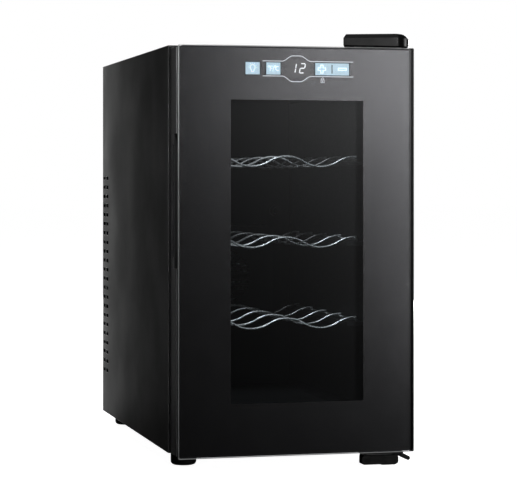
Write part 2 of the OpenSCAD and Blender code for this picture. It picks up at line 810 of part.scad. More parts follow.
module inner_glass() color([0.75, 0.8, 0.82, 0.35]) place()
    upright(14, 17) round_rect([-pane_x + 0.5, pane_low + 0.5], [pane_x - 0.5, pane_high - 0.5], 2);

module glazing_retainer() color([0.1, 0.1, 0.1]) place()
    ring(pane_x, pane_low, pane_high, 8, 17, 22, 2);

module door_gasket() color([0.07, 0.07, 0.07]) place() {
    ring(118, 22, 429.4, 14, door_back, 45.6, 4);
    ring(118, 22, 429.4, 9, 45.5, 50.6, 4);
}

// Hinge bush with a thin flange under the door
module bush(low, high, flange_low, flange_high) place() difference() {
    union() {
        post(pin_x, pin_d, low, high, bush_r);
        post(pin_x, pin_d, flange_low, flange_high, bush_r + 1);
    }
    post(pin_x, pin_d, low - 2, high + 2, pin_r + running);
}

module top_bush() color([0.9, 0.9, 0.88])
    bush(frame_top - 12, frame_top, frame_top, frame_top + 0.4);
module bottom_bush() color([0.9, 0.9, 0.88])
    bush(frame_low, frame_low + 12, frame_low - 0.6, frame_low);

module control_board() color([0.1, 0.3, 0.18]) place() {
    block([-bay_x, board_d, bay_low + 2], [bay_x, board_d + board_t, bay_high - 2]);
    block([-8, board_d + board_t - 0.1, 408], [4, board_d + 4, 420]);
    block([-50, board_d + board_t - 0.1, 408], [-32, board_d + 9, 416]);
}

module touch_springs() color([0.8, 0.55, 0.25]) place()
    for (k = [light_key, unit_key, plus_key, minus_key])
        bar((k[0] + k[1]) / 2, (key_low + key_high) / 2, key_back, board_d, 3);

module display_module() color([0.06, 0.06, 0.06]) place()
    block([-9.5, glass_t, 407.3], [12.5, board_d, 420.9]);

// Translucent key plate between the glass and its touch spring
module key_plate(k) place() block([k[0], glass_t, key_low], [k[1], key_back, key_high]);
module left_keys() color([0.6, 0.7, 0.78]) for (k = [light_key, unit_key]) key_plate(k);
module right_keys() color([0.65, 0.75, 0.83]) for (k = [plus_key, minus_key]) key_plate(k);

left_side_panel();
right_side_panel();
top_panel();
base_plate();
rear_bulkhead();
rear_panel();
rear_panel_screws();
inner_liner();
insulation_foam();
shelf_top();
shelf_middle();
shelf_bottom();
cold_air_cover();
inner_fan_frame();
inner_fan_rotor();
inner_fan_screws();
cold_sink();
conduction_block();
peltier_module();
heat_sink();
heat_sink_screws();
rear_fan_frame();
rear_fan_rotor();
rear_fan_screws();
power_board();
board_standoffs();
power_components();
internal_wiring();
mains_inlet();
lamp_board();
lamp_lens();
temperature_sensor();
front_left_foot();
front_right_foot();
rear_left_foot();
rear_right_foot();
foot_screws();
top_hinge_plate();
top_hinge_pin();
top_hinge_screws();
top_hinge_cover();
bottom_hinge_bracket();
bottom_hinge_pin();
bottom_hinge_washer();
bottom_hinge_screws();
door_glass();
door_print();
door_frame();
handle_grip();
glazing_spacer();
inner_glass();
glazing_retainer();
door_gasket();
top_bush();
bottom_bush();
control_board();
touch_springs();
display_module();
left_keys();
right_keys();
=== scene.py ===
"""Looks of the wine cooler: materials, touch panel, glass, trim, camera and lights.

Metres throughout, +X right, +Y back, +Z up, the door faces -Y. Places come from the
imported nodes' boxes, so the script follows the model's dimensions.
"""

import json
import math

import bmesh
import bpy
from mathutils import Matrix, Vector


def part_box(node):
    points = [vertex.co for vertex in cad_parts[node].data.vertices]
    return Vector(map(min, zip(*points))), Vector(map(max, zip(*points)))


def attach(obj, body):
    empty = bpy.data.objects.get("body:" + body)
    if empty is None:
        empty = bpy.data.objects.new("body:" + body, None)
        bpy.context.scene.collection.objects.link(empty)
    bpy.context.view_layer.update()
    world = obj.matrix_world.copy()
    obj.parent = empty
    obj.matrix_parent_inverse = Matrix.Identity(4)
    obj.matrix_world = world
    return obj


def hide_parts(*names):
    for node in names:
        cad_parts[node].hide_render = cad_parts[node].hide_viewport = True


MM = 0.001

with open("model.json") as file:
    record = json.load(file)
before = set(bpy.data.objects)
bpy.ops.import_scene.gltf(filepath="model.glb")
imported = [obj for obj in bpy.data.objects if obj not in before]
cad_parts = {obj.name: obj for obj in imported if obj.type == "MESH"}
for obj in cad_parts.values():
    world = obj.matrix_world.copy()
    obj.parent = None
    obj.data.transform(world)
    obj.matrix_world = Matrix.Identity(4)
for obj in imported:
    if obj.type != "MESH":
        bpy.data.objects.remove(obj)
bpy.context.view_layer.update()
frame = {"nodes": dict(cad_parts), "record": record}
nodes = frame["nodes"]

glass_low, glass_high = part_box("door_glass")


# ---------------------------------------------------------------- materials


class Shader:
    """One node material with a Principled shader and the texture nodes that drive it."""

    def __init__(self, name, colour, roughness, metallic=0.0, specular=0.5):
        self.mat = bpy.data.materials.new(name)
        self.mat.use_nodes = True
        self.tree = self.mat.node_tree
        self.bsdf = self.tree.nodes["Principled BSDF"]
        self.colour = colour
        self.bsdf.inputs["Base Color"].default_value = (*colour, 1)
        self.bsdf.inputs["Roughness"].default_value = roughness
        self.bsdf.inputs["Metallic"].default_value = metallic
        self.bsdf.inputs["Specular IOR Level"].default_value = specular
        self.coords = self.add("ShaderNodeTexCoord")

    def add(self, kind, **values):
        """Adds a node; values are attributes, or inputs where the name is an input's."""
        node = self.tree.nodes.new(kind)
        for key, value in values.items():
            if key in node.inputs:
                node.inputs[key].default_value = value
            else:
                setattr(node, key, value)
        return node

    def link(self, out, socket):
        self.tree.links.new(out, socket)

    def noise(self, scale, detail=3.0, stretch=(1, 1, 1)):
        """Noise in object space, drawn out along an axis where stretch is under 1."""
        mapping = self.add("ShaderNodeMapping")
        mapping.inputs["Scale"].default_value = stretch
        self.link(self.coords.outputs["Object"], mapping.inputs["Vector"])
        texture = self.add("ShaderNodeTexNoise", Scale=scale, Detail=detail)
        self.link(mapping.outputs["Vector"], texture.inputs["Vector"])
        return texture.outputs["Fac"]

    def spread(self, factor, low, high):
        """Maps a 0.3 to 0.7 factor, which is where noise lies, to low to high."""
        node = self.add("ShaderNodeMapRange")
        node.inputs["From Min"].default_value = 0.3
        node.inputs["From Max"].default_value = 0.7
        node.inputs["To Min"].default_value = low
        node.inputs["To Max"].default_value = high
        self.link(factor, node.inputs["Value"])
        return node.outputs["Result"]

    def vary_colour(self, factor, dark, light):
        """Colour between the base colour times dark and times light."""
        mix = self.add("ShaderNodeMix", data_type="RGBA")
        mix.inputs["A"].default_value = (*[c * dark for c in self.colour], 1)
        mix.inputs["B"].default_value = (*[c * light for c in self.colour], 1)
        self.link(self.spread(factor, 0, 1), mix.inputs["Factor"])
        self.link(mix.outputs["Result"], self.bsdf.inputs["Base Color"])

    def vary_roughness(self, factor, low, high):
        self.link(self.spread(factor, low, high), self.bsdf.inputs["Roughness"])

    def bump(self, factor, depth):
        """Raises the surface by factor times depth, in metres."""
        node = self.add("ShaderNodeBump", Strength=1.0, Distance=depth)
        self.link(factor, node.inputs["Height"])
        self.link(node.outputs["Normal"], self.bsdf.inputs["Normal"])

    def glow(self, colour, strength):
        self.bsdf.inputs["Emission Color"].default_value = (*colour, 1)
        self.bsdf.inputs["Emission Strength"].default_value = strength


def painted(name, colour, roughness, specular=0.5):
    """Sprayed steel: a fine orange peel and a little dullness where it's been handled."""
    peel, depth = 900, 4e-6
    surface = Shader(name, colour, roughness, specular=specular)
    surface.vary_colour(surface.noise(6, 2), 0.9, 1.12)
    surface.vary_roughness(surface.noise(14, 3), roughness * 0.92, roughness * 1.1)
    surface.bump(surface.noise(peel, 2), depth)
    return surface.mat


def moulded(name, colour, roughness, grain=1500, depth=8e-6, specular=0.45):
    """Moulded plastic with a fine spark-eroded grain."""
    surface = Shader(name, colour, roughness, specular=specular)
    surface.vary_colour(surface.noise(40, 3), 0.88, 1.12)
    surface.vary_roughness(surface.noise(grain / 4, 3), roughness * 0.88, roughness * 1.12)
    surface.bump(surface.noise(grain, 2), depth)
    return surface.mat


def glossy(name, colour):
    """Polished black plastic, with a faint waviness from the mould."""
    roughness, wave_depth = 0.19, 8e-6
    surface = Shader(name, colour, roughness, specular=0.1)
    surface.vary_colour(surface.noise(30, 2), 0.85, 1.15)
    surface.vary_roughness(surface.noise(120, 3), roughness * 0.75, roughness * 1.35)
    surface.bump(surface.noise(60, 1), wave_depth)
    return surface.mat


def metal(name, colour, roughness, grain=(1, 1, 1), scale=700, depth=3e-6):
    """Bare metal; grain under 1 along an axis draws the scratches out along it."""
    surface = Shader(name, colour, roughness, metallic=1.0)
    surface.vary_colour(surface.noise(25, 3), 0.86, 1.05)
    surface.vary_roughness(surface.noise(scale, 3, grain), roughness * 0.7, roughness * 1.35)
    surface.bump(surface.noise(scale, 2, grain), depth)
    return surface.mat


def rubber(name, colour):
    """Dull, finely pitted rubber."""
    surface = Shader(name, colour, 0.62, specular=0.35)
    surface.vary_colour(surface.noise(60, 4), 0.8, 1.3)
    surface.vary_roughness(surface.noise(300, 3), 0.52, 0.74)
    surface.bump(surface.noise(1100, 3), 1.5e-5)
    return surface.mat


def foam(name, colour):
    """Expanded beads: cells about 4 mm across."""
    surface = Shader(name, colour, 0.9, specular=0.2)
    cells = surface.add("ShaderNodeTexVoronoi", Scale=260.0)
    surface.link(surface.coords.outputs["Object"], cells.inputs["Vector"])
    surface.vary_colour(cells.outputs["Distance"], 0.9, 1.05)
    surface.bump(cells.outputs["Distance"], 2e-4)
    return surface.mat


def circuit(name, colour):
    """Solder mask with copper tracks showing under it as lighter lines."""
    surface = Shader(name, colour, 0.35)
    tracks = surface.add("ShaderNodeTexBrick", Scale=120.0)
    surface.link(surface.coords.outputs["Object"], tracks.inputs["Vector"])
    tracks.inputs["Mortar Size"].default_value = 0.06
    surface.vary_colour(tracks.outputs["Fac"], 0.8, 1.7)
    surface.vary_roughness(surface.noise(90, 3), 0.28, 0.42)
    surface.bump(tracks.outputs["Fac"], 2e-5)
    return surface.mat


def diffuser(name, colour, strength):
    """Frosted lamp cover, lit from behind by the small lamps."""
    surface = Shader(name, colour, 0.5, specular=0.4)
    surface.vary_colour(surface.noise(50, 2), 0.94, 1.04)
    surface.bump(surface.noise(1400, 2), 1e-5)
    surface.glow(colour, strength)
    return surface.mat


def lit_or_painted_glow(name, colour, strength):
    """Glowing plastic or glass, for the lit keys, icons and digits and for painted highlights: its
    light has the colour of the plate itself.
    """
    surface = Shader(name, colour, 0.4)
    surface.vary_colour(surface.noise(90, 2), 0.94, 1.06)
    surface.glow(colour, strength)
    return surface.mat


def pale_ink_painted_glow(name):
    """Light grey ink with a glow: painted light from the lamps beside it."""
    surface = Shader(name, (0.62, 0.64, 0.66), 0.5)
    surface.vary_colour(surface.noise(400, 2), 0.9, 1.08)
    surface.glow((0.6, 0.63, 0.68), 0.6)
    return surface.mat


def enamel_shader(name, colour, roughness, contrast):
    """Dark metallic enamel with fine flake; contrast is how far the flakes vary."""
    surface = Shader(name, colour, roughness, metallic=1.0)
    surface.vary_colour(surface.noise(2600, 2), 1 - contrast, 1 + contrast)
    return surface


def back_print(name):
    """The enamel on the back of the glass, slightly uneven in its shine."""
    surface = enamel_shader(name, (0.072, 0.072, 0.073), 0.21, 0.08)
    surface.vary_roughness(surface.noise(40, 2), 0.204, 0.216)
    return surface.mat


def clear_pane(name, tint, ior, blur):
    """Flat glass seen through without bending: it passes the tint and mirrors by Fresnel."""
    mat = bpy.data.materials.new(name)
    mat.use_nodes = True
    tree = mat.node_tree
    tree.nodes.remove(tree.nodes["Principled BSDF"])
    out = tree.nodes["Material Output"]
    through = tree.nodes.new("ShaderNodeBsdfTransparent")
    through.inputs["Color"].default_value = (*tint, 1)
    mirror = tree.nodes.new("ShaderNodeBsdfGlossy")
    mirror.inputs["Roughness"].default_value = blur
    fresnel = tree.nodes.new("ShaderNodeFresnel")
    fresnel.inputs["IOR"].default_value = ior
    coords = tree.nodes.new("ShaderNodeTexCoord")
    waves = tree.nodes.new("ShaderNodeTexNoise")
    waves.inputs["Scale"].default_value = 9
    waves.inputs["Detail"].default_value = 1
    bump = tree.nodes.new("ShaderNodeBump")
    bump.inputs["Distance"].default_value = 6e-6
    mix = tree.nodes.new("ShaderNodeMixShader")
    tree.links.new(coords.outputs["Object"], waves.inputs["Vector"])
    tree.links.new(waves.outputs["Fac"], bump.inputs["Height"])
    tree.links.new(bump.outputs["Normal"], mirror.inputs["Normal"])
    tree.links.new(fresnel.outputs["Fac"], mix.inputs["Fac"])
    tree.links.new(through.outputs["BSDF"], mix.inputs[1])
    tree.links.new(mirror.outputs["BSDF"], mix.inputs[2])
    tree.links.new(mix.outputs["Shader"], out.inputs["Surface"])
    return mat


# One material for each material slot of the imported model
MATERIALS = {
    "side_panel_paint": painted("side_panel_paint", (0.014, 0.014, 0.0143), 0.5, specular=0.12),
    "top_panel_paint": painted("top_panel_paint", (0.02, 0.02, 0.021), 0.45, specular=0.2),
    "base_steel": painted("base_steel", (0.03, 0.03, 0.031), 0.5),
    "zinc_sheet": metal("zinc_sheet", (0.56, 0.57, 0.59), 0.4, scale=90, depth=1e-6),
    "rear_panel_paint": painted("rear_panel_paint", (0.022, 0.022, 0.023), 0.55),
    "screw_steel": metal("screw_steel", (0.6, 0.6, 0.61), 0.3),
    "black_screw": painted("black_screw", (0.015, 0.015, 0.015), 0.4),
    "liner_plastic": moulded("liner_plastic", (0.012, 0.012, 0.013), 0.42),
    "foam": foam("foam", (0.8, 0.74, 0.56)),
    "shelf_chrome": metal("shelf_chrome", (0.5, 0.505, 0.52), 0.3, scale=900, depth=1e-6),
    "duct_plastic": moulded("duct_plastic", (0.016, 0.016, 0.017), 0.45),
    "fan_plastic": moulded("fan_plastic", (0.012, 0.012, 0.012), 0.42),
    "rotor_plastic": moulded("rotor_plastic", (0.03, 0.03, 0.031), 0.38),
    "aluminium": metal("aluminium", (0.75, 0.76, 0.77), 0.34, grain=(1, 1, 0.08)),
    "module_ceramic": moulded("module_ceramic", (0.8, 0.8, 0.77), 0.6),
    "circuit_board": circuit("circuit_board", (0.02, 0.12, 0.06)),
    "nylon": moulded("nylon", (0.68, 0.67, 0.62), 0.45),
    "component_cases": moulded("component_cases", (0.03, 0.03, 0.035), 0.4),
    "wire_insulation": moulded("wire_insulation", (0.02, 0.02, 0.02), 0.4),
    "inlet_plastic": moulded("inlet_plastic", (0.012, 0.012, 0.012), 0.4),
    "lamp_diffuser": diffuser("lamp_diffuser", (0.8, 0.87, 1.0), 0.5),
    "foot_rubber": rubber("foot_rubber", (0.005, 0.005, 0.005)),
    "hinge_steel": metal("hinge_steel", (0.4, 0.4, 0.41), 0.35),
    "hinge_cover_gloss": glossy("hinge_cover_gloss", (0.004, 0.004, 0.004)),
    "bracket_paint": painted("bracket_paint", (0.004, 0.004, 0.004), 0.35, specular=0.25),
    "outer_glass": clear_pane("outer_glass", (0.95, 0.95, 0.96), 1.18, 0.21),
    "glass_print": back_print("glass_print"),
    "door_frame_plastic": moulded("door_frame_plastic", (0.024, 0.024, 0.0245), 0.42, specular=0.25),
    "grip_plastic": moulded("grip_plastic", (0.02, 0.02, 0.0205), 0.4, specular=0.25),
    "spacer_black": moulded("spacer_black", (0.01, 0.01, 0.01), 0.6),
    "clear_glass": clear_pane("clear_glass", (0.93, 0.96, 0.96), 1.15, 0.25),
    "gasket_rubber": rubber("gasket_rubber", (0.012, 0.012, 0.012)),
    "spring_brass": metal("spring_brass", (0.75, 0.55, 0.28), 0.3),
    "display_face": back_print("display_face"),
    "key_plate": lit_or_painted_glow("key_plate", (0.42, 0.56, 0.63), 0.62),
}

# Materials of the added pieces
PRINT_LIGHT = pale_ink_painted_glow("print_light")
ICON_LIGHT = lit_or_painted_glow("icon_light", (0.74, 0.9, 1.0), 0.9)
DIGIT_GLOW = lit_or_painted_glow("digit_glow", (0.85, 0.88, 0.9), 0.7)
KEY_SHADE = moulded("key_shade", (0.012, 0.025, 0.04), 0.5)
EDGE_BAND = enamel_shader("edge_band", (0.03, 0.03, 0.03), 0.24, 0.1).mat
# Glow on the glass's lower front arris: a painted highlight
ARRIS_PAINTED_HIGHLIGHT = lit_or_painted_glow("arris_painted_highlight", (0.2, 0.205, 0.205), 0.7)
# Glowing strip: a painted highlight on the foot's top edge
FOOT_HIGHLIGHT_GLOW = lit_or_painted_glow("foot_highlight_glow", (0.12, 0.12, 0.12), 0.5)
BEAD = metal("polished_bead", (0.5, 0.5, 0.51), 0.5)
GROUND_EDGE = moulded("ground_edge", (0.2, 0.205, 0.205), 0.55, grain=2200, depth=1.2e-5)

# Width in millimetres of the small rounding on a node's sharp edges
EDGE = {
    "left_side_panel": 0.25, "right_side_panel": 0.25, "top_panel": 0.25, "rear_panel": 0.2,
    "door_frame": 0.9, "handle_grip": 0.8, "bottom_hinge_bracket": 0.5,
    "front_right_foot": 0.8, "inner_liner": 0.6, "door_gasket": 0.8,
    "cold_air_cover": 0.5, "glazing_retainer": 0.6, "mains_inlet": 0.5,
}

# Paler paint on a node's rounded edges: a painted highlight along them
PAINTED_HIGHLIGHT_EDGE = {
    "left_side_panel": painted("panel_arris_painted_highlight", (0.2, 0.2, 0.203), 0.35),
}


def add_bevel(obj, width):
    """Rounds an object's sharp edges by width metres."""
    bevel = obj.modifiers.new("bevel", "BEVEL")
    bevel.width = width
    bevel.segments = 2
    bevel.limit_method = "ANGLE"
    bevel.angle_limit = math.radians(40)
    bevel.harden_normals = True
    return bevel


def finish_nodes():
    """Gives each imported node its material, and rounds the edges that catch the light."""
    slots = {part["node"]: part["material_slot"] for part in frame["record"]["subparts"]}
    for name, obj in nodes.items():
        obj.data.materials.clear()
        obj.data.materials.append(MATERIALS[slots[name]])
        if name in EDGE:
            # The bevel needs faces that share their corners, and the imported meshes' don't
            weld = obj.modifiers.new("weld", "WELD")
            weld.merge_threshold = 1e-6
            bevel = add_bevel(obj, EDGE[name] * MM)
            # A listed node's bevel faces take the paler paint, a painted highlight along its edges
            if name in PAINTED_HIGHLIGHT_EDGE:
                obj.data.materials.append(PAINTED_HIGHLIGHT_EDGE[name])
                bevel.material = 1


# ---------------------------------------------------------------- camera, lights, floor


def add_camera():
    """Long lens, level, a little to the left; the downward shift keeps uprights upright."""
    turn_right = math.radians(14.30)
    cam = bpy.data.cameras.new("camera")
    cam.sensor_width = 36
    cam.lens = 137.1
    cam.shift_y = -0.1314
    cam.clip_end = 50
    obj = bpy.data.objects.new("camera", cam)
    obj.location = (-0.5410, -2.1821, 0.2966)
    obj.rotation_euler = (math.radians(90), 0, -turn_right)
    bpy.context.collection.objects.link(obj)
    bpy.context.scene.camera = obj


def add_light(name, place, target, size, power, spread=180):
    """Rectangular soft light at place, aimed at target."""
    data = bpy.data.lights.new(name, "AREA")
    data.shape = "RECTANGLE"
    data.size, data.size_y = size
    data.energy = power
    data.spread = math.radians(spread)
    obj = bpy.data.objects.new(name, data)
    obj.location = place
    obj.rotation_euler = (Vector(target) - Vector(place)).to_track_quat("-Z", "Y").to_euler()
    obj.visible_camera = False
    bpy.context.collection.objects.link(obj)


def add_lights():
    """Studio lights: two mirrored in the door's glass, two for the left side, and soft fills."""
    middle = (0, 0, 0.22)
    # A tall strip and a wide panel: the glass mirrors them, brighter to the right and the top
    add_light("key_right", (1.413, -2.870, 0.289), middle, (0.2, 0.8), 10.8)
    add_light("key_upper", (1.040, -2.983, 0.781), middle, (0.74, 0.72), 6.4)
    # Grazing light along the left panel, from its back edge
    add_light("rim_left", (-0.144, 0.36, 0.25), (-0.13, 0, 0.25), (0.03, 0.7), 0.2)
    # A spot on the upper stretch of the glass's free edge
    add_light("edge_left", (-0.18, -0.30, 0.56), (-0.126, -0.222, 0.29), (0.04, 0.04), 0.13, 60)
    # Wide fills for the back, the right side and the top
    add_light("back_fill", (1.1, 2.5, 0.45), (0, 0.2, 0.24), (1.2, 0.7), 45)
    add_light("right_fill", (2.4, -0.2, 0.9), (0.1, 0, 0.24), (1.0, 1.2), 30)
    add_light("overhead", (0, -0.2, 2.4), middle, (2.2, 2.2), 8)
    # The cooler's own lamp, and a narrow light that reaches the shelves through the window
    add_light("inside", (0, -0.12, 0.385), (0, -0.12, 0.05), (0.12, 0.05), 0.03)
    add_light("shelf_front", (-0.15, -1.19, 1.41), (0, -0.14, 0.22), (0.3, 0.12), 13)


def add_floor():
    """Pale floor just under the feet, kept out of reflections and bounced light."""
    mesh = bpy.data.meshes.new("floor")
    form = bmesh.new()
    bmesh.ops.create_grid(form, x_segments=8, y_segments=8, size=20)
    form.to_mesh(mesh)
    form.free()
    floor = bpy.data.objects.new("floor", mesh)
    floor.location.z = -0.2 * MM
    bpy.context.collection.objects.link(floor)
    surface = Shader("floor_white", (0.9, 0.9, 0.9), 0.9, specular=0.0)
    surface.vary_colour(surface.noise(0.6, 2), 0.99, 1.01)
    surface.glow((1, 1, 1), 0.985)
    mesh.materials.append(surface.mat)
    floor.visible_glossy = False
    floor.visible_diffuse = False


def add_world():
    """World that is white to the eye and dim as a light."""
    world = bpy.data.worlds.new("world")
    world.use_nodes = True
    bpy.context.scene.world = world
    tree = world.node_tree
    seen = tree.nodes.new("ShaderNodeLightPath")
    dim = tree.nodes["Background"]
    white = tree.nodes.new("ShaderNodeBackground")
    mix = tree.nodes.new("ShaderNodeMixShader")
    for background, strength in ((dim, 0.014), (white, 1.0)):
        background.inputs["Color"].default_value = (1, 1, 1, 1)
        background.inputs["Strength"].default_value = strength
    tree.links.new(seen.outputs["Is Camera Ray"], mix.inputs["Fac"])
    tree.links.new(dim.outputs["Background"], mix.inputs[1])
    tree.links.new(white.outputs["Background"], mix.inputs[2])
    tree.links.new(mix.outputs["Shader"], tree.nodes["World Output"].inputs["Surface"])


# ---------------------------------------------------------------- mesh helpers


def new_piece(name, form, material, body, smooth=False):
    """Turns a bmesh into an object that rides on a body."""
    bmesh.ops.remove_doubles(form, verts=form.verts, dist=1e-7)
    bmesh.ops.recalc_face_normals(form, faces=form.faces)
    mesh = bpy.data.meshes.new(name)
    form.to_mesh(mesh)
    form.free()
    for face in mesh.polygons:
        face.use_smooth = smooth
    obj = bpy.data.objects.new(name, mesh)
    bpy.context.collection.objects.link(obj)
    mesh.materials.append(material)
    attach(obj, body)
    return obj


def rectangle(low_x, low_z, high_x, high_z):
    """Corners of a rectangle, in order."""
    return [(low_x, low_z), (high_x, low_z), (high_x, high_z), (low_x, high_z)]


def add_plate(form, outline, front, back):
    """Closed plate: outline is (x, z) points, front and back are y values."""
    near = [form.verts.new((x, front, z)) for x, z in outline]
    far = [form.verts.new((x, back, z)) for x, z in outline]
    form.faces.new(near)
    form.faces.new(list(reversed(far)))
    for i, vert in enumerate(near):
        j = (i + 1) % len(near)
        form.faces.new((vert, far[i], far[j], near[j]))


def add_walls(form, rings):
    """Quads between each closed ring of vertices and the next one."""
    for here, there in zip(rings, rings[1:]):
        for i in range(len(here)):
            j = (i + 1) % len(here)
            form.faces.new((here[i], here[j], there[j], there[i]))


def offset_path(points, distance, closed):
    """The path moved sideways by distance, with mitred corners."""
    moved = []
    count = len(points)
    for i in range(count):
        before = points[i - 1] if closed or i else points[0]
        after = points[(i + 1) % count] if closed or i < count - 1 else points[-1]
        a = Vector(points[i]) - Vector(before)
        b = Vector(after) - Vector(points[i])
        a = a.normalized() if a.length else b.normalized()
        b = b.normalized() if b.length else a
        side = Vector((-a.y - b.y, a.x + b.x)).normalized()
        reach = distance / max(0.4, side.dot(Vector((-a.y, a.x))))
        moved.append(Vector(points[i]) + side * reach)
    return moved


def add_stroke(form, points, width, front, back, closed=False):
    """Line of even width along (x, z) points, with a real thickness."""
    left = offset_path(points, width / 2, closed)
    right = offset_path(points, -width / 2, closed)
    rows = []
    for a, b in zip(left, right):
        corners = ((a, front), (b, front), (b, back), (a, back))
        rows.append([form.verts.new((p.x, y, p.y)) for p, y in corners])
    add_walls(form, rows + rows[:1] if closed else rows)
    if not closed:
        form.faces.new(rows[0])
        form.faces.new(list(reversed(rows[-1])))


def arc(centre, radius, start, end, steps=14):
    """Points on an arc, angles in degrees from the first axis towards the second."""
    turns = [math.radians(start + (end - start) * i / steps) for i in range(steps + 1)]
    return [(centre[0] + radius * math.cos(t), centre[1] + radius * math.sin(t)) for t in turns]


def rounded(points, radius):
    """The open path with its inner corners rounded."""
    steps = 5
    path = [points[0]]
    for before, here, after in zip(points, points[1:], points[2:]):
        here, a, b = Vector(here), Vector(before), Vector(after)
        start = here + (a - here).normalized() * min(radius, (a - here).length / 2)
        end = here + (b - here).normalized() * min(radius, (b - here).length / 2)
        for i in range(steps + 1):
            t = i / steps
            path.append(tuple((1 - t) ** 2 * start + 2 * t * (1 - t) * here + t * t * end))
    return path + [points[-1]]


# ---------------------------------------------------------------- touch panel

# The ink and the digits lie just inside the back of the glass, the dark films behind them
INK_FRONT = glass_high.y - 0.20 * MM
INK_BACK = glass_high.y - 0.08 * MM
FILM_FRONT = glass_high.y - 0.06 * MM
FILM_BACK = glass_high.y - 0.02 * MM

KEY_WIDTH = 15.1 * MM
PLUS_WIDTH = 17.9 * MM
key_low, key_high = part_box("left_keys")
pair_low, pair_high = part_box("right_keys")
screen_low, screen_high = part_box("display_module")
panel_z = (key_low.z + key_high.z) / 2
screen_x = (screen_low.x + screen_high.x) / 2

# Widths of the symbols' lines, in millimetres
BOLD, MEDIUM, THIN, FINE, HAIR = 0.8, 0.6, 0.5, 0.45, 0.4


def panel_outline():
    """Two lines above and below the keys that swell around the digits."""
    line, corner = 0.75 * MM, 2.2 * MM
    left = key_low.x + KEY_WIDTH + 3.1 * MM
    right = pair_high.x + 4.5 * MM
    # Where the lines start to part, are furthest apart, close again and run level
    swell = (screen_x - 15.6 * MM, screen_x - 8 * MM, screen_x + 3.7 * MM, screen_x + 11.9 * MM)
    form = bmesh.new()
    for way in (1, -1):
        near = panel_z + way * 7.7 * MM
        far = panel_z + way * 13.3 * MM
        path = [(left, near), (swell[0], near), (swell[1], far),
                (swell[2], far), (swell[3], near), (right, near)]
        add_stroke(form, rounded(path, corner), line, INK_FRONT, INK_BACK)
    new_piece("panel_outline", form, PRINT_LIGHT, "door")


# Lit segments: a is the top one, b to f follow clockwise, and g is the middle one
SEGMENTS = {"1": "bc", "2": "abged"}


def add_digit(form, digit, centre):
    """Seven-segment digit that leans a little to the right."""
    half_width, half_height, line, lean = 2.45 * MM, 4.8 * MM, 1.05 * MM, 0.17
    gap = line * 0.62
    w, h = half_width, half_height
    ends = {
        "a": ((-w, h), (w, h)), "b": ((w, h), (w, 0)), "c": ((w, 0), (w, -h)),
        "d": ((-w, -h), (w, -h)), "e": ((-w, 0), (-w, -h)), "g": ((-w, 0), (w, 0)),
    }
    for name in SEGMENTS[digit]:
        start, end = (Vector(p) for p in ends[name])
        along = (end - start).normalized()
        start, end = start + along * gap, end - along * gap
        side = Vector((-along.y, along.x)) * line / 2
        tip = along * line / 2
        outline = [start - tip, start + side, end + side, end + tip, end - side, start - side]
        shape = [(centre[0] + p.x + lean * p.y, centre[1] + p.y) for p in outline]
        add_plate(form, shape, INK_FRONT, INK_BACK)


def display_digits():
    """The set temperature."""
    form = bmesh.new()
    for digit, shift in (("1", -5.4 * MM), ("2", 4.2 * MM)):
        add_digit(form, digit, (screen_x + shift, panel_z + 0.6 * MM))
    new_piece("display_digits", form, DIGIT_GLOW, "door")


def add_sign(form, centre, strokes):
    """Symbol of (points, width, closed) strokes, in millimetres around its centre."""
    for points, width, closed in strokes:
        path = [(centre[0] + x * MM, centre[1] + z * MM) for x, z in points]
        add_stroke(form, path, width * MM, INK_FRONT, INK_BACK, closed)


def lamp_sign():
    """Bulb with its cap, and short rays around its upper half."""
    middle = (0, 1.0)
    bulb = arc(middle, 2.7, -52, 232) + [(-1.3, -2.2), (-1.1, -3.6), (1.1, -3.6), (1.3, -2.2)]
    starts = arc(middle, 3.8, 0, 180, 6)
    ends = arc(middle, 4.6, 0, 180, 6)
    return [(bulb, MEDIUM, True)] + [(ray, HAIR, False) for ray in zip(starts, ends)]


def unit_sign():
    """Degrees Fahrenheit, a stroke, and degrees Celsius."""
    return [
        (arc((-4.9, 2.1), 0.8, 0, 330), FINE, True),
        ([(-0.7, 2.4), (-3.3, 2.4), (-3.3, -2.6)], MEDIUM, False),
        ([(-3.3, 0.1), (-1.3, 0.1)], MEDIUM, False),
        ([(-0.6, -2.8), (0.9, 2.8)], FINE, False),
        (arc((1.9, 2.1), 0.8, 0, 330), FINE, True),
        (arc((4.6, 0), 2.1, 55, 305), MEDIUM, False),
    ]


def cross(arm, half):
    """Outline of a plus: arm is half its span, half is half the width of its bars."""
    return [(arm, -half), (arm, half), (half, half), (half, arm), (-half, arm), (-half, half),
            (-arm, half), (-arm, -half), (-half, -half), (-half, -arm), (half, -arm), (half, -half)]


def lock_sign():
    """Padlock: its body, shackle and keyhole."""
    return [
        (rectangle(-1.7, -2.2, 1.7, 0.7), THIN, True),
        ([(-1.2, 0.8)] + arc((0, 1.6), 1.2, 180, 0) + [(1.2, 0.8)], THIN, False),
        (arc((0, -0.8), 0.45, 0, 330), HAIR, True),
    ]


def key_icons():
    """Lamp, unit sign, plus and minus, each drawn in a bright line on its key."""
    minus_width = pair_high.x - pair_low.x - PLUS_WIDTH
    minus = rectangle(-4.3, -0.9, 4.3, 1.3)
    form = bmesh.new()
    add_sign(form, (key_low.x + KEY_WIDTH / 2, panel_z), lamp_sign())
    add_sign(form, (key_high.x - KEY_WIDTH / 2, panel_z), unit_sign())
    add_sign(form, (pair_low.x + PLUS_WIDTH / 2 - 1.8 * MM, panel_z), [(cross(4.1, 1.3), BOLD, True)])
    add_sign(form, (pair_high.x - minus_width / 2 + 2.0 * MM, panel_z), [(minus, BOLD, True)])
    new_piece("key_icons", form, ICON_LIGHT, "door")


def lock_icon():
    """Small padlock under the plus key."""
    form = bmesh.new()
    add_sign(form, (pair_low.x + 7.9 * MM, panel_z - 11.8 * MM), lock_sign())
    new_piece("lock_icon", form, PRINT_LIGHT, "door")


